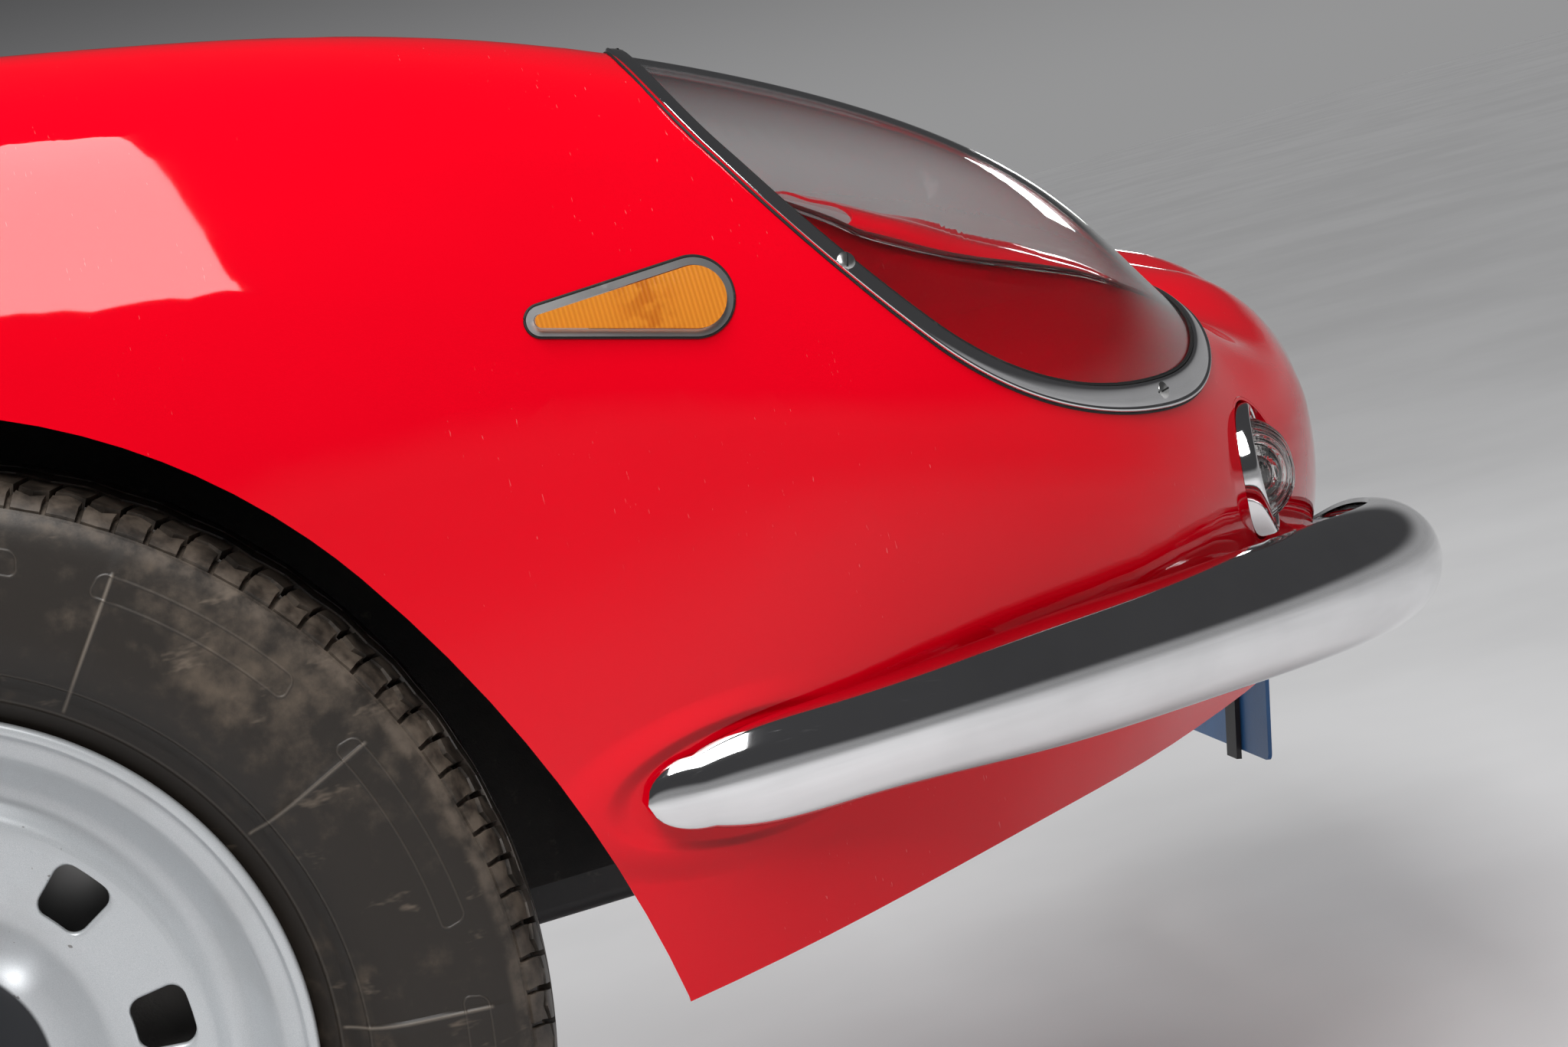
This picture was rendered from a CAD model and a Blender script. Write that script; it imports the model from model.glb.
import math

import bmesh
import bpy
import numpy as np
from mathutils import Matrix


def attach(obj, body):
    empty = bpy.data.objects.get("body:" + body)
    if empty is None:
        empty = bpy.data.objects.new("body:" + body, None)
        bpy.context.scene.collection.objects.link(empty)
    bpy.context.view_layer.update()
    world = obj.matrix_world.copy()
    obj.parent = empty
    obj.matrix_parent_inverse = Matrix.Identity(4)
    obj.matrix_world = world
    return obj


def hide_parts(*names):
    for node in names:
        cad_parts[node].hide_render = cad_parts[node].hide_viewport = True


bl_info = {
    "name": "Grand tourer front corner",
    "version": (1, 0, 0),
    "blender": (4, 5, 0),
    "location": "3D View > Sidebar > Corner",
    "description": "Dresses the right front corner of a grand tourer: paint, lamps, bumper, wheel and tyre",
    "category": "Add Mesh",
}

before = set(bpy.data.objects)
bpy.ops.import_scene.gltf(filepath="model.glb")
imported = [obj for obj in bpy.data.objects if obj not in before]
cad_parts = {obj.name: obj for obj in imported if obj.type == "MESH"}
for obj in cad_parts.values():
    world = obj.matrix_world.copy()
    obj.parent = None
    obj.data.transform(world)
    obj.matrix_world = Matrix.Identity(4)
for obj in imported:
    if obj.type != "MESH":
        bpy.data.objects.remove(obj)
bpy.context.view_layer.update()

# The part's frame in the car's own axes: X from the front axle, Y from the centre plane, Z from the floor
ORIGIN = np.array((-0.560, -0.340, 0.300))
AXLE = np.array((0.0, -0.685, 0.338)) - ORIGIN
OUTBOARD = np.array((0.0, -1.0, 0.0))
UP = np.array((0.0, 0.0, 1.0))

# Ribs of the body's skin, in millimetres in the car's axes, as the part's source has them: x, y, turn,
# foot r and z, lean, widest r and z, then r, z and rise at the crest, the valley and the edge
RIBS = (
    (-530, 0, 0, 785, 215, 14, 800, 565, 630, 925, 0, 500, 914, -6, 390, 905, -3),
    (-150, 0, 0, 780, 245, 8, 797, 570, 622, 906, 0, 495, 890, -9, 390, 872, -7),
    (220, 0, 0, 772, 262, 6, 794, 572, 618, 858, 0, 480, 824, -16, 390, 805, -8),
    (450, 0, 0, 752, 280, 12, 780, 570, 608, 806, 0, 460, 752, -18, 390, 738, -6),
    (620, 0, 0, 680, 294, 28, 756, 520, 585, 735, 0, 445, 673, -12, 390, 668, 3),
    (620, -330, 22.5, 272, 290, 40, 372, 470, 250, 664, 0, 140, 641, 0, 60, 660, 16),
    (620, -330, 45, 245, 288, 35, 322, 446, 205, 602, 6, 140, 612, 20, 60, 654, 30),
    (620, -330, 67.5, 258, 290, 32, 319, 448, 240, 544, 26, 150, 592, 30, 60, 650, 30),
    (620, -330, 90, 285, 292, 30, 342, 450, 272, 550, 25, 150, 608, 26, 60, 658, 26),
    (620, -165, 90, 312, 294, 30, 388, 450, 302, 560, 24, 160, 622, 24, 60, 672, 26),
    (620, 0, 90, 322, 295, 30, 408, 450, 316, 566, 26, 160, 632, 24, 60, 682, 26),
)
RIB_STEPS = 24
SKIN_COLUMNS = 420

# The headlamp opening's plane and outline, as in the part's source
COVER_CENTRE = np.array((680.0, -595.0, 611.0))
COVER_NORMAL = np.array((0.637, -0.207, 0.743))
COVER_DOWN = np.array((0.759, 0.0, -0.651))
# forward u, inboard v, heading in degrees, lap of the rim each way
COVER_OUTLINE = (
    (-236, -15, -90, 5),
    (-30, -158, 0, 3),
    (166, 45, 90, 8),
    (0, 162, 180, 8),
)

# Ridge of the bumper in millimetres: x, y, z, turn of its outward side, height, depth
BUMPER = (
    (405, -783, 388, -8, 16, 5),
    (440, -789, 387, 0, 44, 13),
    (520, -788, 386, 3, 60, 24),
    (640, -770, 383, 13, 72, 34),
    (755, -726, 377, 30, 76, 42),
    (855, -662, 369, 40, 80, 46),
    (925, -590, 361, 54, 80, 46),
    (969, -500, 352, 70, 80, 46),
    (987, -410, 343, 84, 80, 44),
    (984, -330, 337, 104, 68, 36),
    (961, -275, 336, 132, 44, 18),
)

# The photograph's camera in the car's axes: place in metres, pitch, yaw and roll in degrees, and focal
# length in pixels of a picture as wide as the photograph
CAMERA_PLACE = np.array((0.269, -2.375, 0.682))
CAMERA_TURNS = (6.0, 8.75, 15.0)
CAMERA_FOCAL = 4000
PHOTO_WIDTH = 2048

# Radial lines on the tyre's wall: how many, and where the first lies in degrees
WALL_LINES = 12
WALL_LINE_TURN = 24.7
LINE_SECTOR = 2 * math.pi / WALL_LINES

# Across half the tyre: distance from the middle, then the shares of groove, zigzag and slot depth
TREAD_ROWS = (
    (0, 0, 0, 0), (9, 0, 0.5, 0), (18, 0, 1, 0), (20.6, 0, 1, 0), (21.4, 1, 1, 0), (26.6, 1, 1, 0),
    (27.4, 0, 1, 0), (34, 0, 1, 0), (41, 0, 1, 0), (48.6, 0, 1, 0), (49.4, 1, 1, 0), (54.6, 1, 1, 0),
    (55.4, 0, 1, 0.9), (60, 0, 1, 0.9), (66, 0, 1, 0.9), (72, 0, 1, 0.9), (77, 0, 1, 0.8),
    (79.4, 0, 1, 0.6), (80.2, 0.8, 1, 0.8), (84, 0.8, 1, 0.8), (84.8, 0, 1, 0.55), (90, 0, 1, 0.5),
    (96, 0, 0.4, 0.45), (98.4, 0, 0.1, 0.4), (99.2, 0.2, 0, 0.2), (101, 0.2, 0, 0.2), (101.8, 0, 0, 0),
)
WALL_ROWS = (105, 112, 120, 129, 138, 147, 156, 165, 173, 180, 186, 192, 198, 204)
# Along one zigzag of the tread: share of its length, and whether a cross slot passes there
TREAD_COLUMNS = (
    (-0.045, 0), (-0.03, 1), (0.03, 1), (0.045, 0), (0.14, 0), (0.25, 0), (0.36, 0),
    (0.455, 0), (0.47, 1), (0.53, 1), (0.545, 0), (0.65, 0), (0.75, 0), (0.86, 0),
)

# The wheel's holes, in millimetres: radii of the band they stand in, their middle, and points a side
HOLE_BAND = (108.0, 150.0)
HOLE_MIDDLE = 130.0
CELL_SIDE = 24

# Which CAD nodes wear each material
FINISH_NODES = {
    "body_paint": "wing headlamp_bowl front_lamp_bowl",
    "underseal": "inner_wing",
    "reflector": "headlamp_shell",
    "chrome": "headlamp_ring cover_rim front_lamp_bezel bumper_blade wheel_nut",
    "fluted_glass": "headlamp_lens",
    "cover_glass": "headlamp_cover",
    "ribbed_glass": "front_lamp_lens",
    "lamp_trim": "side_lamp_bezel",
    "amber_lens": "side_lamp_lens",
    "plate_blue": "number_plate",
    "chassis_black": "bumper_arm bumper_stay nose_frame plate_strap chassis_rail suspension_turret "
                     "lower_bracket upper_wishbone lower_wishbone",
    "spring_black": "coil_spring damper",
    "cast_iron": "knuckle brake_caliper",
    "disc_iron": "brake_disc",
    "hub_steel": "hub",
    "wheel_silver": "wheel_rim",
    "rubber": "tyre",
}


# Curves and surfaces

def around(angle):
    """Unit vectors in a plane at the given angles in radians."""
    return np.stack((np.cos(angle), np.sin(angle)), -1)


def heading(degrees):
    """Unit vectors in a plane at the given angles in degrees."""
    return around(np.radians(degrees))


def unit(vectors):
    """Vectors scaled to a length of 1."""
    return vectors / np.linalg.norm(vectors, axis=-1, keepdims=True)


def distances(points):
    """How far along a path each of its points lies."""
    return np.concatenate(([0], np.cumsum(np.linalg.norm(np.diff(points, axis=0), axis=1))))


def arc_run(p, t, q, steps):
    """Points on the arc that leaves p along t and reaches q, q left out.

    The chord grows as the sine of the bend.
    """
    chord = q - p
    start = math.atan2(t[1], t[0])
    bend = (math.atan2(chord[1], chord[0]) - start + math.pi) % (2 * math.pi) - math.pi
    share = np.arange(steps) / steps
    reach = share if abs(bend) < 1e-6 else np.sin(share * bend) / math.sin(bend)
    return p + around(start + share * bend) * (np.hypot(*chord) * reach)[:, None]


def biarc_path(stations, steps):
    """Two arcs between each pair of stations (x, y, heading), each in so many steps."""
    chain = [(np.array(stations[0][:2], float), heading(stations[0][2]))]
    for x, y, turn in stations[1:]:
        p, tp = chain[-1]
        q, tq = np.array((x, y), float), heading(turn)
        v = q - p
        t = tp + tq
        k = 2 * (1 - tp @ tq)
        d = (math.sqrt((v @ t) ** 2 + k * (v @ v)) - v @ t) / k if k > 1e-9 else v @ v / (4 * (v @ tq))
        joint = (p + tp * d + q - tq * d) / 2
        chord = (joint - p) / np.hypot(*(joint - p))
        chain += [(joint, chord * (2 * tp @ chord) - tp), (q, tq)]
    runs = [arc_run(p, t, q, steps) for (p, t), (q, _) in zip(chain, chain[1:])]
    return np.vstack(runs + [chain[-1][0][None]])


def natural_spline(knots, values, at):
    """Natural cubic spline through values (knots, ...), read at the places in at.

    Its second derivatives solve a three-banded system and vanish at the ends.
    """
    knots = np.asarray(knots, float)
    values = np.asarray(values, float)
    step = np.diff(knots)
    count = len(knots)
    matrix = np.eye(count)
    inside = np.arange(1, count - 1)
    matrix[inside, inside - 1] = step[:-1]
    matrix[inside, inside] = 2 * (step[:-1] + step[1:])
    matrix[inside, inside + 1] = step[1:]
    flat = values.reshape(count, -1)
    right = np.zeros_like(flat)
    slope = np.diff(flat, axis=0) / step[:, None]
    right[1:-1] = 6 * np.diff(slope, axis=0)
    bend = np.linalg.solve(matrix, right)
    i = np.clip(np.searchsorted(knots, at, side="right") - 1, 0, count - 2)
    a = ((knots[i + 1] - at) / step[i])[:, None]
    b = 1 - a
    curve = ((a ** 3 - a) * bend[i] + (b ** 3 - b) * bend[i + 1]) * (step[i] ** 2)[:, None] / 6
    return (a * flat[i] + b * flat[i + 1] + curve).reshape((len(at),) + values.shape[1:])


def rounded(points, times):
    """Corner cutting: each corner gives way to two points a quarter of the way along its sides."""
    points = np.asarray(points, float)
    for _ in range(times):
        before, after = points[:-1], points[1:]
        cut = np.stack((0.75 * before + 0.25 * after, 0.25 * before + 0.75 * after), 1)
        points = np.vstack((points[:1], cut.reshape(-1, points.shape[1]), points[-1:]))
    return points


def along_path(points, closed=False):
    """Unit directions along a path, by central differences."""
    if closed:
        return unit(np.roll(points, -1, 0) - np.roll(points, 1, 0))
    return unit(np.gradient(points, axis=0))


def resampled(loop, count):
    """The same closed path with evenly spaced points."""
    loop = np.vstack((loop, loop[:1]))
    run = distances(loop)
    at = np.linspace(0, run[-1], count, endpoint=False)
    return np.stack([np.interp(at, run, column) for column in loop.T], -1)


def skin_grid():
    """The body's skin and its outward normals: biarc ribs with a natural spline through them."""
    ribs = []
    for x, y, turn, foot_r, foot_z, lean, wide_r, wide_z, *upper in RIBS:
        stations = [(foot_r, foot_z, 90 - lean), (wide_r, wide_z, 90)]
        for k in (0, 3, 6):
            r, z, rise = upper[k:k + 3]
            stations.append((r, z, 180 - rise))
        flat = biarc_path(stations, RIB_STEPS)
        out = np.array((math.sin(math.radians(turn)), -math.cos(math.radians(turn)), 0))
        ribs.append(np.array((x, y, 0)) + flat[:, :1] * out + flat[:, 1:] * UP)
    ribs = np.array(ribs)
    widest = ribs[:, 2 * RIB_STEPS]
    knots = distances(widest)
    grid = natural_spline(knots, ribs, np.linspace(0, knots[-1], SKIN_COLUMNS)) / 1000 - ORIGIN
    return grid, unit(np.cross(np.gradient(grid, axis=0), np.gradient(grid, axis=1)))


SKIN, SKIN_NORMAL = skin_grid()


def on_skin(flat, centre, across, up, facing):
    """Lays (across, up) points of a plane on the skin, and gives the skin's normals there.

    Each point starts at the nearest sample and is found on the second-order patch about it, by Newton steps.
    """
    room = 0.008
    least_facing = 0.15
    u, v = (SKIN - centre) @ across, (SKIN - centre) @ up
    low, high = flat.min(0) - room, flat.max(0) + room
    near = (u > low[0]) & (u < high[0]) & (v > low[1]) & (v < high[1])
    rows, columns = np.nonzero(near & (SKIN_NORMAL @ facing > least_facing))
    u, v = u[rows, columns], v[rows, columns]
    nearest = np.concatenate([np.argmin((part[:, :1] - u) ** 2 + (part[:, 1:] - v) ** 2, axis=1)
                              for part in np.array_split(flat, 24)])
    i = np.clip(rows[nearest], 1, SKIN.shape[0] - 2)
    j = np.clip(columns[nearest], 1, SKIN.shape[1] - 2)
    base = SKIN[i, j]
    du, dv = (SKIN[i + 1, j] - SKIN[i - 1, j]) / 2, (SKIN[i, j + 1] - SKIN[i, j - 1]) / 2
    duu, dvv = SKIN[i + 1, j] + SKIN[i - 1, j] - 2 * base, SKIN[i, j + 1] + SKIN[i, j - 1] - 2 * base
    duv = (SKIN[i + 1, j + 1] + SKIN[i - 1, j - 1] - SKIN[i + 1, j - 1] - SKIN[i - 1, j + 1]) / 4
    plane = np.stack((across, up), -1)
    s, t = np.zeros((len(flat), 1)), np.zeros((len(flat), 1))
    for _ in range(4):
        point = base + s * du + t * dv + s * s / 2 * duu + t * t / 2 * dvv + s * t * duv
        along, over = du + s * duu + t * duv, dv + t * dvv + s * duv
        matrix = np.stack((along @ plane, over @ plane), -1)
        step = np.linalg.solve(matrix, (flat - (point - centre) @ plane)[..., None])
        s, t = s + step[:, 0], t + step[:, 1]
    return point, unit(np.cross(along, over))


# Meshes

def new_object(name, data):
    """An object in the scene with the given data."""
    item = bpy.data.objects.new(name, data)
    bpy.context.scene.collection.objects.link(item)
    return item


def new_piece(name, grids, body, finish, replaces=(), sharp=35):
    """One welded mesh from point grids (points, close rows, close columns).

    It is shaded smooth, apart from edges over the sharp angle in degrees.
    """
    vertices = []
    quads = []
    start = 0
    for points, close_rows, close_columns in grids:
        rows, columns = points.shape[:2]
        index = start + np.arange(rows * columns).reshape(rows, columns)
        if close_rows:
            index = np.vstack((index, index[:1]))
        if close_columns:
            index = np.hstack((index, index[:, :1]))
        corners = (index[:-1, :-1], index[:-1, 1:], index[1:, 1:], index[1:, :-1])
        quads.append(np.stack(corners, -1).reshape(-1, 4))
        vertices.append(points.reshape(-1, 3))
        start += rows * columns
    vertices = np.vstack(vertices)
    quads = np.vstack(quads)
    mesh = bpy.data.meshes.new(name)
    mesh.vertices.add(len(vertices))
    mesh.vertices.foreach_set("co", vertices.ravel().astype(np.float32))
    mesh.loops.add(quads.size)
    mesh.loops.foreach_set("vertex_index", quads.ravel().astype(np.int32))
    mesh.polygons.add(len(quads))
    mesh.polygons.foreach_set("loop_start", np.arange(0, quads.size, 4, dtype=np.int32))
    mesh.update(calc_edges=True)
    work = bmesh.new()
    work.from_mesh(mesh)
    bmesh.ops.remove_doubles(work, verts=work.verts, dist=2e-6)
    bmesh.ops.dissolve_degenerate(work, edges=work.edges, dist=1e-7)
    bmesh.ops.recalc_face_normals(work, faces=work.faces)
    work.to_mesh(mesh)
    work.free()
    mesh.polygons.foreach_set("use_smooth", np.ones(len(mesh.polygons), dtype=bool))
    mesh.set_sharp_from_angle(angle=math.radians(sharp))
    mesh.materials.append(bpy.data.materials[finish])
    piece = new_object(name, mesh)
    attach(piece, body)
    if replaces:
        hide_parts(*replaces)
    return piece


def lathe(profile, centre, axis, columns):
    """Turns (radius, height) points about an axis: centre + height * axis + radius * (cos, sin)."""
    axis = axis / np.linalg.norm(axis)
    side = unit(np.cross(axis, UP if abs(axis[2]) < 0.9 else (1, 0, 0)))
    other = np.cross(axis, side)
    turn = around(np.linspace(0, 2 * math.pi, columns, endpoint=False))
    ring = turn[:, :1] * side + turn[:, 1:] * other
    return centre + profile[:, None, 1:] * axis + profile[:, None, :1] * ring


def about_axle(r, w, angle):
    """Points at radius r and distance w outboard, turned by angle about the axle."""
    r, w, angle = np.broadcast_arrays(r, w, angle)
    return np.stack((AXLE[0] + r * np.cos(angle), AXLE[1] - w, AXLE[2] + r * np.sin(angle)), -1)


def bead_along(loop, radius):
    """A round bead along a closed path: two normals to its direction, cos and sin round it."""
    direction = along_path(loop, True)
    side = unit(np.cross(direction, (0.31, 0.27, 0.91)))
    other = np.cross(direction, side)
    angle = np.linspace(0, 2 * math.pi, 10, endpoint=False)[:, None, None]
    return loop + radius * (np.cos(angle) * side + np.sin(angle) * other)


# Materials

def sign(operation, swapped=False):
    """A method that adds a Math node on a wrapped socket and another value."""
    def method(self, other):
        inputs = [other, self] if swapped else [self, other]
        return self.finish.node("ShaderNodeMath", {"operation": operation}, inputs)
    return method


class Value:
    """A wrapped socket: + - * / ** and < on it add Math nodes."""

    def __init__(self, finish, socket):
        self.finish = finish
        self.socket = socket

    __add__ = __radd__ = sign("ADD")
    __sub__ = sign("SUBTRACT")
    __rsub__ = sign("SUBTRACT", swapped=True)
    __mul__ = __rmul__ = sign("MULTIPLY")
    __truediv__ = sign("DIVIDE")
    __pow__ = sign("POWER")
    __lt__ = sign("LESS_THAN")

    def math(self, operation, *others):
        """Adds any other Math node on this value and the others."""
        return self.finish.node("ShaderNodeMath", {"operation": operation}, [self, *others])

    def step(self, low, high):
        """Smooth rise from 0 at low to 1 at high."""
        inputs = {"Value": self, "From Min": low, "From Max": high}
        return self.finish.node("ShaderNodeMapRange", {"interpolation_type": "SMOOTHSTEP"}, inputs)

    def near(self, centre, width):
        """1 at centre, falling smoothly to 0 at width away."""
        return 1 - (self - centre).math("ABSOLUTE").step(0, width)


class Finish:
    """One material: a Principled shader, and node() to add any other node to it."""

    def __init__(self, name, **constants):
        self.material = bpy.data.materials.new(name)
        self.material.use_nodes = True
        self.tree = self.material.node_tree
        self.shader = self.tree.nodes["Principled BSDF"]
        for key, value in constants.items():
            self.shader.inputs[key.replace("_", " ")].default_value = value
        self.place = self.node("ShaderNodeTexCoord", {}, {}, "Object")

    def node(self, kind, settings, inputs, output=0):
        """Adds a node with its settings, feeds its inputs, and wraps an output."""
        node = self.tree.nodes.new(kind)
        for key, value in settings.items():
            setattr(node, key, value)
        pairs = inputs.items() if isinstance(inputs, dict) else enumerate(inputs)
        for key, value in pairs:
            if isinstance(value, Value):
                self.tree.links.new(value.socket, node.inputs[key])
            else:
                node.inputs[key].default_value = value
        return Value(self, node.outputs[output])

    def axis(self, name):
        """One of the object coordinates, X, Y or Z."""
        return self.node("ShaderNodeSeparateXYZ", {}, [self.place], name)

    def from_axle(self):
        """Distances ahead of the axle, above it, and from it."""
        ahead = self.axis("X") - float(AXLE[0])
        above = self.axis("Z") - float(AXLE[2])
        return ahead, above, (ahead * ahead + above * above).math("SQRT")

    def stretched(self, scale):
        """Object coordinates scaled along each axis."""
        return self.node("ShaderNodeMapping", {}, {"Vector": self.place, "Scale": scale})

    def noise(self, scale, detail=3.0, rough=0.5, place=None):
        """Cloudy noise from 0 to 1, on the object coordinates or on another place."""
        inputs = {"Vector": place or self.place, "Scale": scale, "Detail": detail, "Roughness": rough}
        return self.node("ShaderNodeTexNoise", {}, inputs, "Fac")

    def mix(self, share, low, high):
        """Colour between low and high, each a wrapped socket or red, green and blue."""
        low, high = (tone if isinstance(tone, Value) else (*tone, 1.0) for tone in (low, high))
        return self.node("ShaderNodeMix", {"data_type": "RGBA"}, {0: share, 6: low, 7: high}, 2)

    def bump(self, height, strength, distance):
        """A normal from a height."""
        inputs = {"Height": height, "Strength": strength, "Distance": distance}
        return self.node("ShaderNodeBump", {}, inputs)

    def feed(self, **links):
        """Joins wrapped sockets to the shader's own sockets."""
        for key, value in links.items():
            self.tree.links.new(value.socket, self.shader.inputs[key.replace("_", " ")])
        return self.material


def body_paint(settings):
    """Deep solid red under clear lacquer, with orange peel, fine scratches and a swage."""
    f = Finish("body_paint", Coat_Weight=1.0, Coat_Roughness=0.03, Coat_IOR=1.38, Specular_IOR_Level=0.0)
    cloud = f.noise(3.0, 2.0)
    red = f.mix(cloud.step(0.3, 0.7), settings.deep, settings.colour)
    wiped = f.noise(1.0, 2.0, 0.6, f.stretched((900.0, 60.0, 120.0)))
    scratch = wiped.step(0.73, 0.75) * f.noise(7.0, 2.0).step(0.52, 0.6)
    red = f.mix(scratch * 0.35, red, (0.9, 0.35, 0.35))
    peel = f.noise(420.0, 2.0, 0.4) * 0.00002
    # The swage is a raised lip round the bumper's tip, an ellipse seen from the side
    half_length, half_height, rise = 0.092, 0.036, 0.004
    x = f.axis("X")
    ahead = (x - settings.swage_x) / half_length
    above = (f.axis("Z") - settings.swage_z) / half_height
    side = (ahead ** 2 + above ** 2).math("SQRT")
    fade = 1 - x.step(settings.swage_x - 0.05, settings.swage_x + 0.06)
    lip = (1 - side.step(1.0, 1.4)) * side.step(0.84, 1.0) * fade * rise
    return f.feed(Base_Color=red, Roughness=0.3 + cloud * 0.08, Normal=f.bump(peel + lip, 1.0, 1.0))


def chrome():
    """Bright plating: faint cloudy smears and hairline wipe marks in its roughness."""
    f = Finish("chrome", Metallic=1.0)
    smear = f.noise(9.0, 4.0, 0.6)
    hair = f.noise(1.0, 2.0, 0.7, f.stretched((40.0, 900.0, 260.0))).step(0.62, 0.72)
    colour = f.mix(smear.step(0.35, 0.75), (0.83, 0.83, 0.84), (0.74, 0.74, 0.75))
    return f.feed(Base_Color=colour, Roughness=0.035 + smear * 0.05 + hair * 0.06)


def rubber():
    """Worn tyre rubber: brown-black, dusty and scuffed, with raised lines and outlines on the wall."""
    f = Finish("rubber", Specular_IOR_Level=0.45)
    ahead, above, radius = f.from_axle()
    wide = f.noise(5.0, 5.0, 0.65)
    fine = f.noise(60.0, 4.0, 0.6)
    dust = (wide * 0.65 + fine * 0.35).step(0.47, 0.68)
    scuff = f.noise(1.0, 4.0, 0.7, f.stretched((16.0, 16.0, 46.0))).step(0.6, 0.72)
    colour = f.mix(dust * 0.85, (0.021, 0.0165, 0.013), (0.13, 0.098, 0.07))
    colour = f.mix(scuff * 0.5, colour, (0.23, 0.18, 0.135))
    outboard = f.axis("Y") < float(AXLE[1]) - 0.06
    # Rounded boxes between the radial lines, and two rings by the rim
    turn = above.math("ARCTAN2", ahead) * (1 / LINE_SECTOR)
    arc = (turn.math("FRACT") - 0.5).math("ABSOLUTE") * LINE_SECTOR * radius
    box_r = (radius - 0.2915).math("ABSOLUTE")
    box = ((box_r - 0.002).math("MAXIMUM", 0.0) ** 2 + (arc - 0.052).math("MAXIMUM", 0.0) ** 2).math("SQRT")
    lines = box.near(0.0045, 0.0011) + radius.near(0.2345, 0.0011) + radius.near(0.2195, 0.0014)
    first = math.radians(WALL_LINE_TURN) / LINE_SECTOR
    spoke = ((turn + (0.5 - first)).math("FRACT") - 0.5).math("ABSOLUTE")
    spoke = (spoke * LINE_SECTOR * radius).near(0.0, 0.0016) * radius.step(0.220, 0.223)
    spoke = spoke * (1 - radius.step(0.298, 0.301)) * outboard
    worn = (spoke * 0.55 + lines.math("MINIMUM", 1.0) * 0.1) * outboard
    colour = f.mix(worn, colour, (0.27, 0.23, 0.19))
    tread = radius.step(0.309, 0.314) * fine.step(0.3, 0.7)
    colour = f.mix(tread * 0.6, colour, (0.14, 0.11, 0.085))
    grain = f.noise(900.0, 3.0, 0.6) * 0.35 + f.noise(140.0, 3.0) * 0.6
    height = (lines + spoke) * outboard * 0.0006 + grain * 0.00018
    rough = 0.5 + dust * 0.3 - wide * 0.08
    return f.feed(Base_Color=colour, Roughness=rough, Normal=f.bump(height, 0.8, 1.0))


def wheel_silver():
    """Silver wheel lacquer with fine flake, dust in the hollows and small chips, dark round the nut."""
    f = Finish("wheel_silver", Metallic=0.35, Coat_Weight=0.35, Coat_Roughness=0.15)
    flake = f.noise(2600.0, 1.0)
    cloud = f.noise(14.0, 4.0, 0.6)
    chip = f.noise(120.0, 2.0).step(0.74, 0.76)
    colour = f.mix(flake.step(0.3, 0.7), (0.58, 0.61, 0.63), (0.70, 0.72, 0.74))
    colour = f.mix(cloud.step(0.5, 0.8) * 0.25, colour, (0.45, 0.45, 0.44))
    colour = f.mix(chip * 0.7, colour, (0.12, 0.1, 0.09))
    radius = f.from_axle()[2]
    colour = f.mix(1 - radius.step(0.065, 0.068), colour, (0.012, 0.014, 0.018))
    return f.feed(Base_Color=colour, Roughness=0.3 + cloud * 0.12, Normal=f.bump(flake, 0.015, 0.0002))


def glass(name, tint, rough, flutes=()):
    """Clear glass; flutes are moulded half-round ribs, each an axis and a pitch: the absolute sine."""
    f = Finish(name, Transmission_Weight=1.0, IOR=1.46)
    smear = f.noise(12.0, 3.0, 0.6)
    colour = f.mix(smear, tint, [min(1.0, c * 1.04) for c in tint])
    links = {"Base_Color": colour, "Roughness": rough + smear * 0.02}
    if flutes:
        waves = [(f.axis(axis) * (math.pi / pitch)).math("SINE").math("ABSOLUTE") for axis, pitch in flutes]
        links["Normal"] = f.bump(sum(waves), 0.7, 0.002)
    return f.feed(**links)


def amber_lens():
    """Amber lens with fine upright ribs and a darker patch where the bulb sits."""
    f = Finish("amber_lens", Transmission_Weight=0.35, IOR=1.49, Coat_Weight=0.8, Coat_Roughness=0.05)
    rib_pitch = 0.0026
    x = f.axis("X")
    ribs = (x * (2 * math.pi / rib_pitch)).math("SINE") * 0.5 + 0.5
    bulb = x.near(1.035, 0.022) * f.noise(120.0, 2.0).step(0.35, 0.6)
    colour = f.mix(ribs * 0.4 + bulb * 0.5, (1.0, 0.36, 0.035), (0.62, 0.15, 0.01))
    return f.feed(Base_Color=colour, Roughness=0.12 + ribs * 0.06, Normal=f.bump(ribs, 0.35, 0.0006))


def plain_metal(name, low, high, rough, metallic=0.0, scale=40.0, depth=0.0003):
    """A painted or bare metal: two tones in patches, uneven sheen, a fine tooth and rubbed dust."""
    f = Finish(name, Metallic=metallic)
    patch = f.noise(scale * 0.2, 5.0, 0.6)
    tooth = f.noise(scale * 12, 3.0, 0.6)
    dust = f.noise(scale, 4.0, 0.7).step(0.6, 0.75)
    colour = f.mix(patch.step(0.35, 0.7), low, high)
    colour = f.mix(dust * 0.25, colour, (0.2, 0.17, 0.14))
    return f.feed(Base_Color=colour, Roughness=rough + patch * 0.15 + dust * 0.1,
                  Normal=f.bump(tooth, 0.4, depth))


def disc_iron():
    """Ground disc faces: fine circular marks about the axle, browned towards the hat."""
    f = Finish("disc_iron", Metallic=1.0)
    radius = f.from_axle()[2]
    rings = (radius * 9000.0).math("SINE") * 0.5 + 0.5
    rust = 1 - radius.step(0.078, 0.09)
    colour = f.mix(rust * 0.8, (0.42, 0.41, 0.4), (0.16, 0.09, 0.06))
    rough = 0.28 + rust * 0.4 + rings * 0.08
    return f.feed(Base_Color=colour, Roughness=rough, Normal=f.bump(rings, 0.15, 0.0002))


# Settings a user would change

def length(label, note, value):
    """A length in metres."""
    return bpy.props.FloatProperty(name=label, description=note, unit="LENGTH", default=value)


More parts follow.
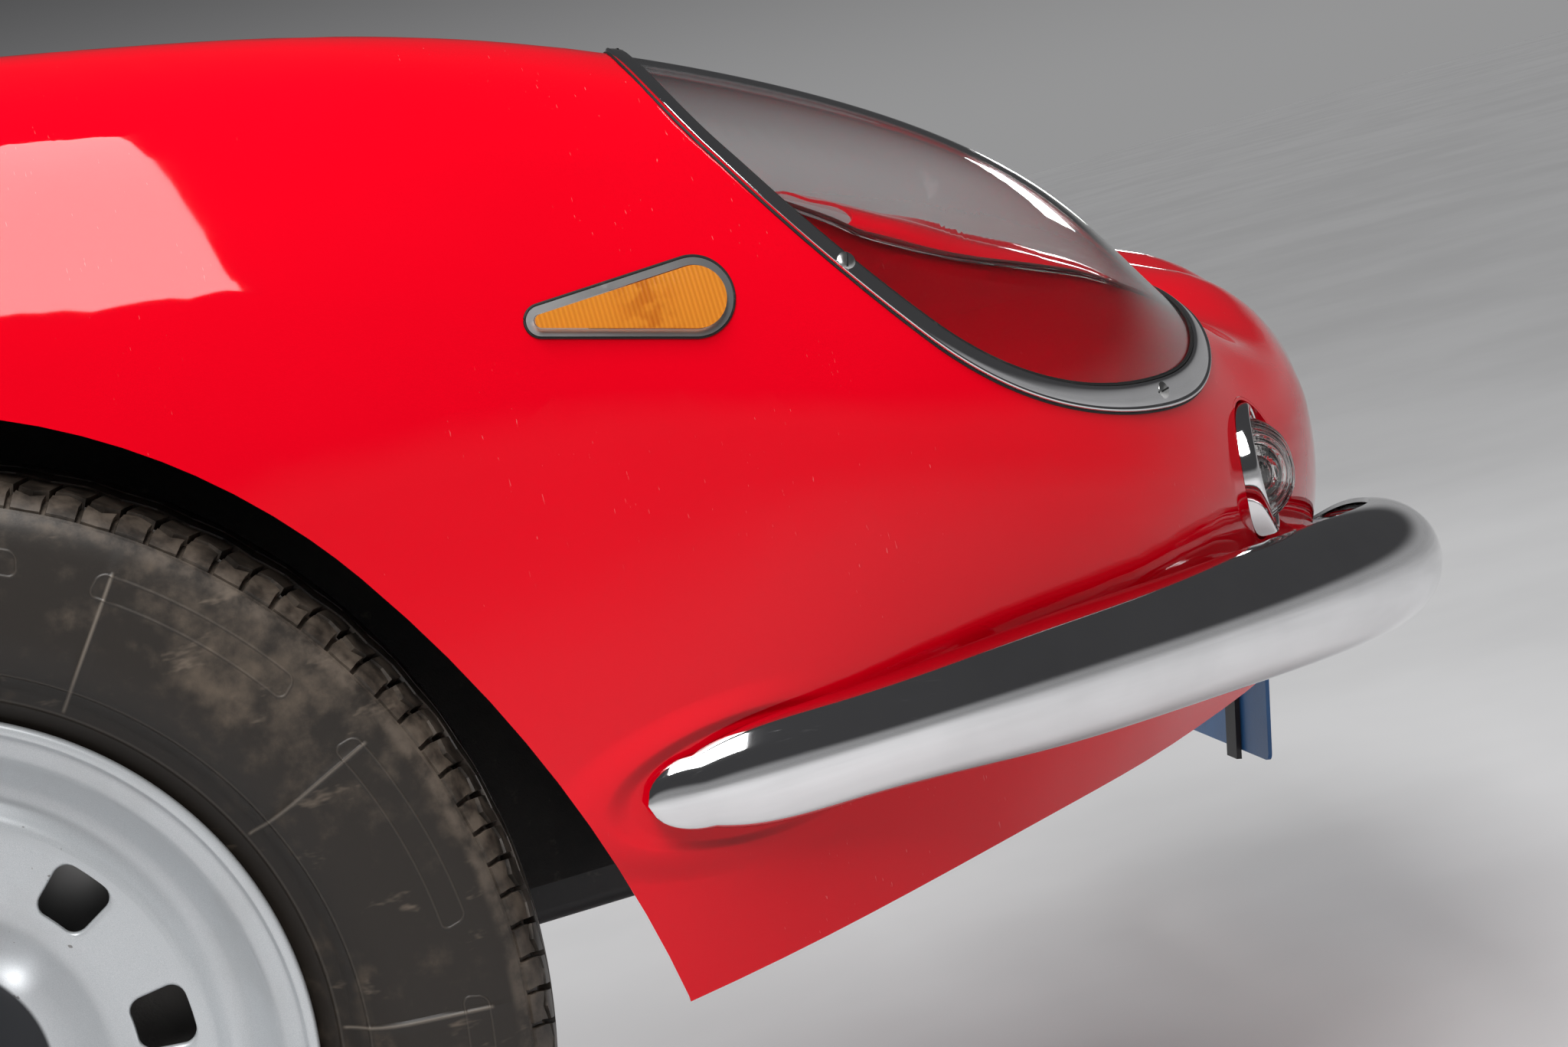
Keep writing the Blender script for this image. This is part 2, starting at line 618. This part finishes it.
def tone(label, note, value):
    """A colour."""
    return bpy.props.FloatVectorProperty(name=label, description=note, subtype="COLOR", size=3,
                                         default=value, min=0, max=1)


class CORNER_PG_paint(bpy.types.PropertyGroup):
    colour: tone("Colour", "Body colour", (0.80, 0.0, 0.011))
    deep: tone("Deep colour", "Darker tone in the body colour", (0.72, 0.0, 0.009))
    swage_x: length("Swage place", "Centre of the swage round the bumper's tip", 1.033)
    swage_z: length("Swage height", "Height of the swage round the bumper's tip", 0.085)


class CORNER_PG_tyre(bpy.types.PropertyGroup):
    radius: length("Radius", "Tyre's outer radius", 0.337)
    periods: bpy.props.IntProperty(name="Tread periods", description="Zigzags round the tread",
                                   default=56, min=20)
    depth: length("Tread depth", "Depth of the grooves", 0.007)
    swing: length("Zigzag", "Sideways swing of the grooves", 0.0042)


class CORNER_PG_wheel(bpy.types.PropertyGroup):
    holes: bpy.props.IntProperty(name="Holes", description="Holes in the wheel's disc", default=10, min=4)
    hole_size: length("Hole size", "Width of a hole", 0.031)
    turn: bpy.props.FloatProperty(name="Turn", default=0.06,
                                  description="Place of the first hole round the axle, as a share")


class CORNER_PG_trim(bpy.types.PropertyGroup):
    rim_height: length("Rim height", "How far the lamp rim stands off the skin", 0.003)
    screw_radius: length("Screw radius", "Radius of the rim's screws", 0.0052)
    gasket: length("Gasket", "Radius of the rubber beads", 0.0011)


class CORNER_PG_stage(bpy.types.PropertyGroup):
    floor: tone("Floor", "Colour of the floor", (0.66, 0.66, 0.665))
    key: bpy.props.FloatProperty(name="Key lamp", description="Power of the large overhead softbox",
                                 default=68.0)


# Operators

def placed(item, across, up, back, place):
    """Puts something at a place with its own axes along across, up and back."""
    turn = Matrix([list(row) for row in np.stack((across, up, back), 1)])
    item.matrix_world = Matrix.Translation(list(place)) @ turn.to_4x4()


class CORNER_OT_stage(bpy.types.Operator):
    """Camera at the photograph's angle, pale floor, and soft studio light"""
    bl_idname = "corner.stage"
    bl_label = "Stage"

    def execute(self, context):
        settings = context.scene.corner_stage
        self.camera(context)
        self.floor(settings)
        self.world(context)
        self.lamps(settings)
        context.scene.view_settings.view_transform = "Standard"
        return {"FINISHED"}

    def camera(self, context):
        """The photograph's camera, rolled as it was held."""
        pitch, yaw, roll = (math.radians(v) for v in CAMERA_TURNS)
        flat = math.cos(pitch)
        ahead = np.array((math.sin(yaw) * flat, math.cos(yaw) * flat, -math.sin(pitch)))
        level = np.array((math.cos(yaw), -math.sin(yaw), 0.0))
        upright = np.cross(level, ahead)
        right = level * math.cos(roll) - upright * math.sin(roll)
        up = level * math.sin(roll) + upright * math.cos(roll)
        data = bpy.data.cameras.new("camera")
        data.sensor_width = 36.0
        data.lens = data.sensor_width * CAMERA_FOCAL / PHOTO_WIDTH
        data.clip_end = 200.0
        camera = new_object("camera", data)
        placed(camera, right, up, -ahead, CAMERA_PLACE - ORIGIN)
        context.scene.camera = camera

    def floor(self, settings):
        """A wide painted floor under the tyre."""
        half = 40.0
        f = Finish("floor_paint")
        cloud = f.noise(1.3, 4.0, 0.6)
        colour = f.mix(cloud.step(0.3, 0.7), [c * 0.9 for c in settings.floor], settings.floor)
        f.feed(Base_Color=colour, Roughness=0.62 + cloud * 0.1)
        span = np.linspace(-half, half, 3)
        x, y = np.meshgrid(span, span)
        points = np.stack((x, y, np.full_like(x, -float(ORIGIN[2]))), -1)
        mesh = bpy.data.meshes.new("floor")
        faces = [(0, 1, 4, 3), (1, 2, 5, 4), (3, 4, 7, 6), (4, 5, 8, 7)]
        mesh.from_pydata(points.reshape(-1, 3).tolist(), [], faces)
        mesh.materials.append(f.material)
        floor = new_object("floor", mesh)

    def world(self, context):
        """A studio's walls: pale near the floor, dark above."""
        world = bpy.data.worlds.new("studio")
        world.use_nodes = True
        tree = world.node_tree
        coordinates = tree.nodes.new("ShaderNodeTexCoord")
        split = tree.nodes.new("ShaderNodeSeparateXYZ")
        ramp = tree.nodes.new("ShaderNodeValToRGB")
        ramp.color_ramp.interpolation = "EASE"
        low, high = ramp.color_ramp.elements
        low.position, low.color = 0.0, (0.30, 0.30, 0.303, 1)
        high.position, high.color = 0.16, (0.05, 0.05, 0.052, 1)
        tree.links.new(coordinates.outputs["Generated"], split.inputs[0])
        tree.links.new(split.outputs["Z"], ramp.inputs[0])
        tree.links.new(ramp.outputs[0], tree.nodes["Background"].inputs[0])
        context.scene.world = world

    def lamps(self, settings):
        """Softboxes and a broad sky; only two of them show in the paint and the glass."""
        # name, place, what it faces, width, height, power in watts, shows in what shines
        lamps = (
            ("key_lamp", (0.75, -1.66, 2.37), (0.77, -0.42, 0.46), 0.9, 2.1, settings.key, True),
            ("nose_lamp", (3.0, -1.2, 2.8), (1.2, -0.2, 0.1), 1.6, 1.6, 12.0, False),
            ("back_lamp", (-1.6, 3.0, 2.2), (0.6, 0.1, 0.2), 2.0, 2.0, 40.0, False),
            ("glint_lamp", (2.22, 2.41, 0.49), (1.4, 0.05, 0.28), 0.12, 0.3, 1.2, True),
        )
        for name, place, aim, width, height, power, shows in lamps:
            light = bpy.data.lights.new(name, "AREA")
            light.shape = "RECTANGLE"
            light.size = width
            light.size_y = height
            light.energy = power
            lamp = new_object(name, light)
            lamp.visible_glossy = shows
            lamp.visible_transmission = shows
            back = unit(np.array(place) - np.array(aim))
            across = unit(np.cross(UP, back))
            placed(lamp, across, np.cross(back, across), back, place)
        sky = bpy.data.lights.new("sky_lamp", "SUN")
        sky.energy = 1.45
        sky.angle = math.radians(120)
        sky_lamp = new_object("sky_lamp", sky)
        sky_lamp.visible_glossy = False
        sky_lamp.visible_transmission = False
        sky_lamp.matrix_world = Matrix.Translation((0, 0, 4)) @ Matrix.Rotation(math.radians(-6), 4, "X")


class CORNER_OT_finishes(bpy.types.Operator):
    """Paint, plating, glass, rubber and metal for every CAD node"""
    bl_idname = "corner.finishes"
    bl_label = "Finishes"

    def execute(self, context):
        body_paint(context.scene.corner_paint)
        chrome()
        rubber()
        wheel_silver()
        amber_lens()
        disc_iron()
        glass("cover_glass", (0.97, 0.97, 0.97), 0.0)
        glass("ribbed_glass", (0.97, 0.96, 0.95), 0.02, (("Y", 0.004),))
        glass("fluted_glass", (0.95, 0.97, 0.97), 0.02, (("Y", 0.012), ("Z", 0.03)))
        plain_metal("underseal", (0.012, 0.011, 0.011), (0.03, 0.027, 0.025), 0.75, scale=60.0, depth=0.002)
        plain_metal("chassis_black", (0.014, 0.014, 0.015), (0.03, 0.03, 0.031), 0.38)
        plain_metal("spring_black", (0.02, 0.02, 0.021), (0.045, 0.045, 0.046), 0.3)
        plain_metal("cast_iron", (0.13, 0.12, 0.115), (0.2, 0.19, 0.18), 0.5, metallic=0.8, depth=0.0012)
        plain_metal("hub_steel", (0.3, 0.3, 0.31), (0.42, 0.42, 0.43), 0.3, metallic=1.0)
        plain_metal("reflector", (0.85, 0.85, 0.86), (0.9, 0.9, 0.91), 0.03, metallic=1.0, depth=0.00002)
        plain_metal("plate_blue", (0.02, 0.11, 0.3), (0.03, 0.15, 0.38), 0.25)
        plain_metal("lamp_trim", (0.74, 0.74, 0.74), (0.82, 0.82, 0.82), 0.24, metallic=1.0, depth=0.00005)
        plain_metal("seal_rubber", (0.006, 0.006, 0.006), (0.014, 0.013, 0.013), 0.55)
        plain_metal("screw_steel", (0.62, 0.62, 0.61), (0.72, 0.72, 0.71), 0.22, metallic=1.0, depth=0.0001)
        for finish, names in FINISH_NODES.items():
            for name in names.split():
                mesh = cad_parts[name].data
                mesh.materials.clear()
                mesh.materials.append(bpy.data.materials[finish])
        return {"FINISHED"}


class CORNER_OT_tyre(bpy.types.Operator):
    """Carcass with zigzag grooved tread, cross slots and raised lines on its wall"""
    bl_idname = "corner.tyre"
    bl_label = "Tyre"

    def execute(self, context):
        s = context.scene.corner_tyre
        radius = s.radius * 1000
        carcass = biarc_path(((204.2, 66.8, 20), (258, 102, 0), (radius - 6, 76, -81), (radius, 0, -90)), 60)
        carcass = carcass[::-1]
        inward = along_path(carcass)
        outward = np.stack((inward[:, 1], -inward[:, 0]), -1)
        run = distances(carcass)
        rows = np.array(TREAD_ROWS + tuple((distance, 0, 0, 0) for distance in WALL_ROWS + (run[-1],)))
        rows = rows[rows[:, 0] <= run[-1]]
        middle, groove, zigzag, slotted = rows.T[..., None]
        columns, slots = np.array(TREAD_COLUMNS).T
        phase = (np.arange(s.periods)[:, None] + columns).ravel()
        slot = np.tile(slots, s.periods)
        zig = np.abs((phase + 0.25) % 1.0 - 0.5) * 4 - 1
        line_width = 0.55 * 2 * math.pi * 300 / len(phase)
        inner = biarc_path(((214, 62, 20), (258, 93, 0), (radius - 16, 70, -81), (radius - 9, 0, -90)), 1)
        lining = np.vstack((carcass[-1:], ((190.2, 66.8), (190.2, 52.8), (196, 54)), inner)) / 1000
        grids = []
        for side in (1, -1):
            across = np.clip(middle + side * zigzag * zig * s.swing * 1000, 0, run[-1])
            at_r, at_w, out_r, out_w = (np.interp(across, run, values)
                                        for values in (*carcass.T, *outward.T))
            sunk = np.maximum(groove, slotted * slot) * s.depth * 1000
            slant = np.clip((middle - 50) / 40, 0, 1) * 0.22 * side
            angle = (phase + slant) * 2 * math.pi / s.periods
            line = (angle - math.radians(WALL_LINE_TURN)) / LINE_SECTOR
            from_line = np.abs(line - np.round(line)) * LINE_SECTOR * at_r
            raised = (middle > 112) & (middle < 190) & (from_line < line_width)
            lift = np.where(raised, 1.0, 0) - sunk
            r, w = (at_r + out_r * lift) / 1000, (at_w + out_w * lift) / 1000 * side
            grids.append((about_axle(r, w, angle), False, True))
            grids.append((about_axle(lining[:, :1], lining[:, 1:] * side, angle[-1]), False, True))
        new_piece("tyre_dressed", grids, "wheel", "rubber", ("tyre",), sharp=28)
        return {"FINISHED"}


class CORNER_OT_wheel(bpy.types.Operator):
    """Rolled rim and dished disc with its ring of rounded holes"""
    bl_idname = "corner.wheel"
    bl_label = "Wheel"

    def execute(self, context):
        s = context.scene.corner_wheel
        low, high = HOLE_BAND
        outer = rounded(((high, 45.8), (154, 44.9), (158, 42.2), (163, 39.8), (168, 40.2), (174, 44),
                         (181, 52.5), (185.5, 62), (188.5, 69.5), (195, 73.2), (200, 75), (201.5, 77.5),
                         (202.5, 79.5), (207.9, 79), (208, 73)), 3)
        under = rounded(((208, 73), (196, 70), (190, 67), (190, 42), (172, 28), (172, -18), (190, -34),
                         (190, -67), (196, -70), (208, -73), (208, -79), (204, -79), (202, -75), (192, -74),
                         (186, -71), (186, -32), (168, -16), (168, 0), (160, 12), (154, 30),
                         (high, 40.8)), 2)
        centre = rounded(((low, 36), (98, 30), (88, 18), (70, 10.2), (52, 10.2), (31, 10.2)), 2)
        face = rounded(((31, 16), (52, 16), (66, 16.5), (78, 21.5), (92, 31), (101, 38.5), (low, 41)), 3)
        columns = CELL_SIDE * s.holes
        angle = (2 * s.turn - 1) * math.pi / s.holes + np.arange(columns) * 2 * math.pi / columns
        grids = []
        for profile in (np.vstack((centre, face)) / 1000, np.vstack((outer, under[1:])) / 1000):
            grids.append((about_axle(profile[:, :1], profile[:, 1:], angle), False, True))
        for k in range(s.holes):
            grids.append((self.cell((k + s.turn) / s.holes, s), False, True))
        new_piece("wheel_dressed", grids, "wheel", "wheel_silver", ("wheel_rim",), sharp=50)
        stem = np.array(((0, 0), (3.2, 0), (3.2, 8), (4.1, 9), (4.1, 17), (3.2, 18.5), (0, 18.5))) / 1000
        side = math.cos(math.radians(200))
        rise = math.sin(math.radians(200))
        base = AXLE + np.array((side * 0.176, -0.052, rise * 0.176))
        lean = np.array((-side * 0.3, -1.0, -rise * 0.3))
        new_piece("valve_stem", [(lathe(stem, base, lean, 24), False, True)], "wheel", "seal_rubber")
        return {"FINISHED"}

    def cell(self, share, s):
        """One hole's share of the disc: rings from its edge in to the hole, through it and back out."""
        low, high = HOLE_BAND
        side = np.linspace(-1, 1, CELL_SIDE, endpoint=False)
        one = np.ones(CELL_SIDE)
        sides = ((side, -one), (one, side), (-side, one), (-one, -side))
        square = np.vstack([np.stack(pair, -1) for pair in sides])
        edge_turn = square[:, 0] * math.pi / s.holes
        edge_r = (low + high) / 2 + square[:, 1] * (high - low) / 2
        half = s.hole_size * 500
        corner = 8.0
        nearest = np.clip(square * half, corner - half, half - corner)
        offset = square * half - nearest
        reach = np.maximum(np.linalg.norm(offset, axis=1, keepdims=True), 1e-9)
        hole = nearest + offset / reach * corner * np.minimum(1, reach / 1e-6)
        hole_turn = hole[:, 0] / HOLE_MIDDLE
        hole_r = HOLE_MIDDLE + hole[:, 1]
        rows = []
        # share of the way from the cell's edge to the hole, how far the sheet has rolled in
        for t, sink in ((0, 0), (0.15, 0), (0.3, 0), (0.45, 0), (0.6, 0), (0.75, 0), (0.86, 0),
                        (0.92, 0.1), (0.96, 0.4), (0.985, 1.0), (1, 2.0), (1, 4.5), (0.985, 5),
                        (0.8, 5), (0.5, 5), (0, 5)):
            turn = edge_turn * (1 - t) + hole_turn * t
            r = edge_r * (1 - t) + hole_r * t
            w = np.interp(r, (low, 112, 120, 130, 140, 146, high), (41, 42.2, 43.4, 44.4, 45.4, 45.8, 45.8))
            rows.append(about_axle(r / 1000, (w - sink) / 1000, turn + share * 2 * math.pi))
        return np.array(rows)


class CORNER_OT_bumper(bpy.types.Operator):
    """Plated quarter bumper: a rolled-edge section carried along its ridge"""
    bl_idname = "corner.bumper"
    bl_label = "Bumper"

    def execute(self, context):
        table = np.array(BUMPER, float)
        knots = distances(table[:, :3])
        length = knots[-1]
        ease = np.linspace(0, 1, 260)
        at = length * (0.5 - 0.5 * np.cos(math.pi * ease)) * 0.25 + length * ease * 0.75
        x, y, z, turn, height, depth = natural_spline(knots, table, at).T
        # Quarter rounds that shut the ends, over 34 mm at the tip and 26 mm at the tail
        tip, tail = (np.sqrt(np.clip(1 - (1 - np.clip(away, 0, 1)) ** 2, 0, 1))
                     for away in (at / 34, (length - at) / 26))
        shut = np.minimum(tip, tail)
        height = np.maximum(height, 42) * shut
        depth = depth * np.maximum(shut, 0.02)
        outward = np.stack((np.sin(np.radians(turn)), -np.cos(np.radians(turn)), 0 * turn), -1)
        ridge = np.stack((x, y, z), -1)
        bulge = np.linspace(-1, 1, 44)
        face_h = np.sin(bulge * math.pi / 2) * 0.5
        face_r = np.sqrt(np.clip(1 - (face_h * 2) ** 2 * 0.97, 0, 1)) ** 0.9
        wall = np.minimum(2.4, 0.3 + depth * 0.4)
        rings = []
        for h, r, inset in ((face_h, face_r, 0.0), (face_h[::-1] * 0.93, face_r[::-1], 1.0)):
            up = h[:, None] * height
            out = r[:, None] * depth - depth - inset * wall * (0.2 + 0.8 * r[:, None])
            rings.append(ridge + out[..., None] * outward + up[..., None] * UP)
        points = np.vstack(rings) / 1000 - ORIGIN
        new_piece("bumper_dressed", [(points, True, False)], "corner", "chrome",
                  ("bumper_blade",), sharp=60)
        return {"FINISHED"}


def lamp_outline(laps, count):
    """The headlamp opening's outline in its own plane, moved outwards by laps of the rim."""
    stations = []
    for u, v, turn, lap in COVER_OUTLINE + COVER_OUTLINE[:1]:
        along = heading(turn)
        stations.append((u + along[1] * laps * lap, v - along[0] * laps * lap, turn))
    return resampled(biarc_path(stations, 60)[:-1] / 1000, count)


def lamp_on_skin(flat):
    """Lays points of the headlamp opening's plane on the skin."""
    across = unit(COVER_DOWN)
    facing = unit(COVER_NORMAL)
    return on_skin(flat, COVER_CENTRE / 1000 - ORIGIN, across, np.cross(facing, across), facing)


class CORNER_OT_lamp_glass(bpy.types.Operator):
    """Clear cover on the wing's skin: rings from its edge to its middle, and again a wall deeper"""
    bl_idname = "corner.lamp_glass"
    bl_label = "Lamp glass"

    def execute(self, context):
        sunk = 0.0002
        wall = 0.003
        edge = lamp_outline(-0.6, 240)
        share = (np.linspace(0, 1, 22) ** 1.3)[:, None, None]
        flat = edge * (1 - share) + edge.mean(0) * share
        point, normal = lamp_on_skin(flat.reshape(-1, 2))
        outer = (point - normal * sunk).reshape(flat.shape[:2] + (3,))
        inner = (point - normal * (sunk + wall)).reshape(outer.shape)
        new_piece("lamp_glass", [(np.vstack((outer, inner[::-1])), True, True)], "corner", "cover_glass",
                  ("headlamp_cover",), sharp=50)
        return {"FINISHED"}


class CORNER_OT_lamp_rim(bpy.types.Operator):
    """Plated rim round the lamp glass, with its rolled edge, seals and slotted screws"""
    bl_idname = "corner.lamp_rim"
    bl_label = "Lamp rim"

    def execute(self, context):
        s = context.scene.corner_trim
        count = 420
        inner, normal = lamp_on_skin(lamp_outline(-1.0, count))
        outer, outer_normal = lamp_on_skin(lamp_outline(1.0, count))
        # share of the way out, share of the height
        section = rounded(((0, -0.2), (0, 0.45), (0.03, 0.8), (0.1, 0.95), (0.3, 1.0), (0.6, 0.98),
                           (0.78, 0.86), (0.84, 0.8), (0.88, 1.0), (0.93, 1.08), (0.98, 0.95), (1, 0.6),
                           (1, -0.2)), 2)
        share, lift = section.T[..., None, None]
        lift = lift * s.rim_height
        points = inner * (1 - share) + outer * share + (normal * (1 - share) + outer_normal * share) * lift
        new_piece("lamp_rim_dressed", [(points, False, True)], "corner", "chrome",
                  ("cover_rim",), sharp=50)
        seals = []
        for laps, lift, size in ((-1.12, 0.0006, 1.0), (1.06, 0.0001, 0.7)):
            path, up = lamp_on_skin(lamp_outline(laps, count))
            seals.append((bead_along(path + up * lift, s.gasket * size), True, True))
        new_piece("lamp_rim_seals", seals, "corner", "seal_rubber")
        middle, up = lamp_on_skin(lamp_outline(-0.15, count))
        along = along_path(middle, True)
        head = np.array(((0, 0.0012), (0.35, 0.0012), (0.8, 0.0009), (1, 0.0), (1, -0.002)))
        head = head * (s.screw_radius, 1)
        walls = np.array(((-0.0005, -0.0006), (-0.0005, 0.0001), (0.0005, 0.0001), (0.0005, -0.0006)))
        screws = []
        slots = []
        for index, share in enumerate(context.scene.corner_screws.split()):
            k = int(float(share) * count) % count
            screws.append((lathe(head, middle[k] + up[k] * s.rim_height, up[k], 24), False, True))
            across = np.cross(up[k], along[k])
            tilt = 0.6 + 1.1 * index
            line = math.cos(tilt) * across + math.sin(tilt) * np.cross(up[k], across)
            top = middle[k] + up[k] * (s.rim_height + 0.00125)
            ends = np.array((-1, 1))[:, None, None] * line * s.screw_radius * 0.85
            ring = walls[:, :1] * np.cross(up[k], line) + walls[:, 1:] * up[k]
            slots.append((top + ends + ring[None], False, True))
        new_piece("lamp_rim_screws", screws, "corner", "screw_steel")
        new_piece("lamp_rim_slots", slots, "corner", "seal_rubber")
        return {"FINISHED"}


class CORNER_OT_front_lamp(bpy.types.Operator):
    """Plated cup, ribbed domed lens and reflector of the lamp in the nose, each a turned profile"""
    bl_idname = "corner.front_lamp"
    bl_label = "Front lamp"

    def execute(self, context):
        centre = np.array((0.838, -0.556, 0.441)) - ORIGIN
        turn = math.radians(22)
        ahead = np.array((math.cos(turn), -math.sin(turn), 0.0))
        cup = rounded(((41.5, -24), (42, -4), (42, 7), (41, 10.5), (38, 11.5), (36, 9), (35.6, 2),
                       (35.2, -22)), 2)
        dome = rounded(((0, 29), (9, 28.6), (18, 25.5), (26, 19), (31.5, 11), (34.2, 3), (35, -4),
                        (35, -9)), 2)
        inside = rounded(((32.4, -9), (32.4, -3), (31.4, 2.5), (28.8, 10), (23.8, 17.2), (16.5, 23),
                          (8.5, 25.9), (0, 26.2)), 2)
        mirror = rounded(((0, -19), (10, -18), (22, -14), (31, -10.5), (35, -10.2), (35, -12), (20, -18),
                          (0, -22)), 2)
        # name, profile, material, slot, replaced nodes, closed profile
        for name, profile, finish, slot, replaced, closed in (
                ("front_lamp_cup", cup, "chrome", "front_lamp_bezel", ("front_lamp_bezel",), True),
                ("front_lamp_dome", np.vstack((dome, inside)), "ribbed_glass", "front_lamp_lens",
                 ("front_lamp_lens",), False),
                ("front_lamp_mirror", mirror, "reflector", "front_lamp_bezel", (), False)):
            turned = lathe(profile / 1000, centre, ahead, 96)
            new_piece(name, [(turned, closed, True)], "corner", finish, replaced, sharp=50)
        return {"FINISHED"}


class CORNER_OT_side_lamp(bpy.types.Operator):
    """Seal round the side lamp, on the flank"""
    bl_idname = "corner.side_lamp"
    bl_label = "Side lamp"

    def execute(self, context):
        s = context.scene.corner_trim
        tip, tail = np.array((419.0, 649.0)), np.array((502.0, 640.0))
        tip_r, tail_r, grow = 4, 17, 4.6
        slope = math.atan2(tail[1] - tip[1], tail[0] - tip[0])
        spread = math.acos((tail_r - tip_r) / np.hypot(*(tail - tip)))
        high = slope + math.pi - spread
        low = slope - math.pi + spread
        path = np.vstack((tail + (tail_r + grow) * around(np.linspace(high, low, 50)),
                          tip + (tip_r + grow) * around(np.linspace(low, high - 2 * math.pi, 30))))
        flat = resampled(path, 240) / 1000 - ORIGIN[[0, 2]]
        laid, up = on_skin(flat, np.zeros(3), np.array((1.0, 0, 0)), UP, OUTBOARD)
        new_piece("side_lamp_seal", [(bead_along(laid + up * 0.0004, s.gasket * 0.8), True, True)], "corner",
                  "seal_rubber")
        return {"FINISHED"}


class CORNER_OT_fasteners(bpy.types.Operator):
    """Hexagon heads on washers where the real pieces are bolted"""
    bl_idname = "corner.fasteners"
    bl_label = "Fasteners"

    def execute(self, context):
        # place in millimetres in the car's axes, direction, size across corners
        heads = (
            ((143, -385, 470), (1, 0, 0), 24), ((-143, -385, 470), (-1, 0, 0), 24),
            ((173, -372, 235), (1, 0, 0), 24), ((-173, -372, 235), (-1, 0, 0), 24),
            ((60, -340, 696), (0, 0, 1), 20), ((-60, -340, 696), (0, 0, 1), 20),
        )
        profile = np.array(((0, 7), (0.78, 7), (0.92, 6.2), (1, 5), (1, 1.4), (1.02, 1.4), (1.25, 1.4),
                            (1.25, -1)))
        grids = []
        for place, direction, size in heads:
            shape = profile * (size / 2, 1) / 1000
            points = lathe(shape, np.array(place) / 1000 - ORIGIN, np.array(direction, float), 6)
            grids.append((points, False, True))
        new_piece("corner_bolt_heads", grids, "corner", "screw_steel", sharp=20)
        return {"FINISHED"}


class CORNER_PT_panel(bpy.types.Panel):
    """Steps of the front corner, in order"""
    bl_idname = "CORNER_PT_panel"
    bl_label = "Front corner"
    bl_space_type = "VIEW_3D"
    bl_region_type = "UI"
    bl_category = "Corner"

    def draw(self, context):
        for step in STEPS:
            self.layout.operator(step.bl_idname)
        for group in ("corner_paint", "corner_tyre", "corner_wheel", "corner_trim", "corner_stage"):
            box = self.layout.box()
            settings = getattr(context.scene, group)
            for name in settings.bl_rna.properties.keys():
                if name not in ("rna_type", "name"):
                    box.prop(settings, name)


STEPS = (CORNER_OT_stage, CORNER_OT_finishes, CORNER_OT_tyre, CORNER_OT_wheel, CORNER_OT_bumper,
         CORNER_OT_lamp_glass, CORNER_OT_lamp_rim, CORNER_OT_front_lamp, CORNER_OT_side_lamp,
         CORNER_OT_fasteners)
GROUPS = (CORNER_PG_paint, CORNER_PG_tyre, CORNER_PG_wheel, CORNER_PG_trim, CORNER_PG_stage)


def register():
    for item in GROUPS + STEPS + (CORNER_PT_panel,):
        bpy.utils.register_class(item)
    for group in GROUPS:
        name = "corner_" + group.__name__.split("_")[-1]
        setattr(bpy.types.Scene, name, bpy.props.PointerProperty(type=group))
    bpy.types.Scene.corner_screws = bpy.props.StringProperty(
        name="Screws", description="Places of the rim's screws, as shares of the way round",
        default="0.196 0.405 0.6 0.8 0.985")


def unregister():
    del bpy.types.Scene.corner_screws
    for group in GROUPS:
        delattr(bpy.types.Scene, "corner_" + group.__name__.split("_")[-1])
    for item in reversed(GROUPS + STEPS + (CORNER_PT_panel,)):
        bpy.utils.unregister_class(item)


def main():
    register()
    for step in STEPS:
        group, name = step.bl_idname.split(".")
        getattr(getattr(bpy.ops, group), name)()


if __name__ == "__main__":
    main()
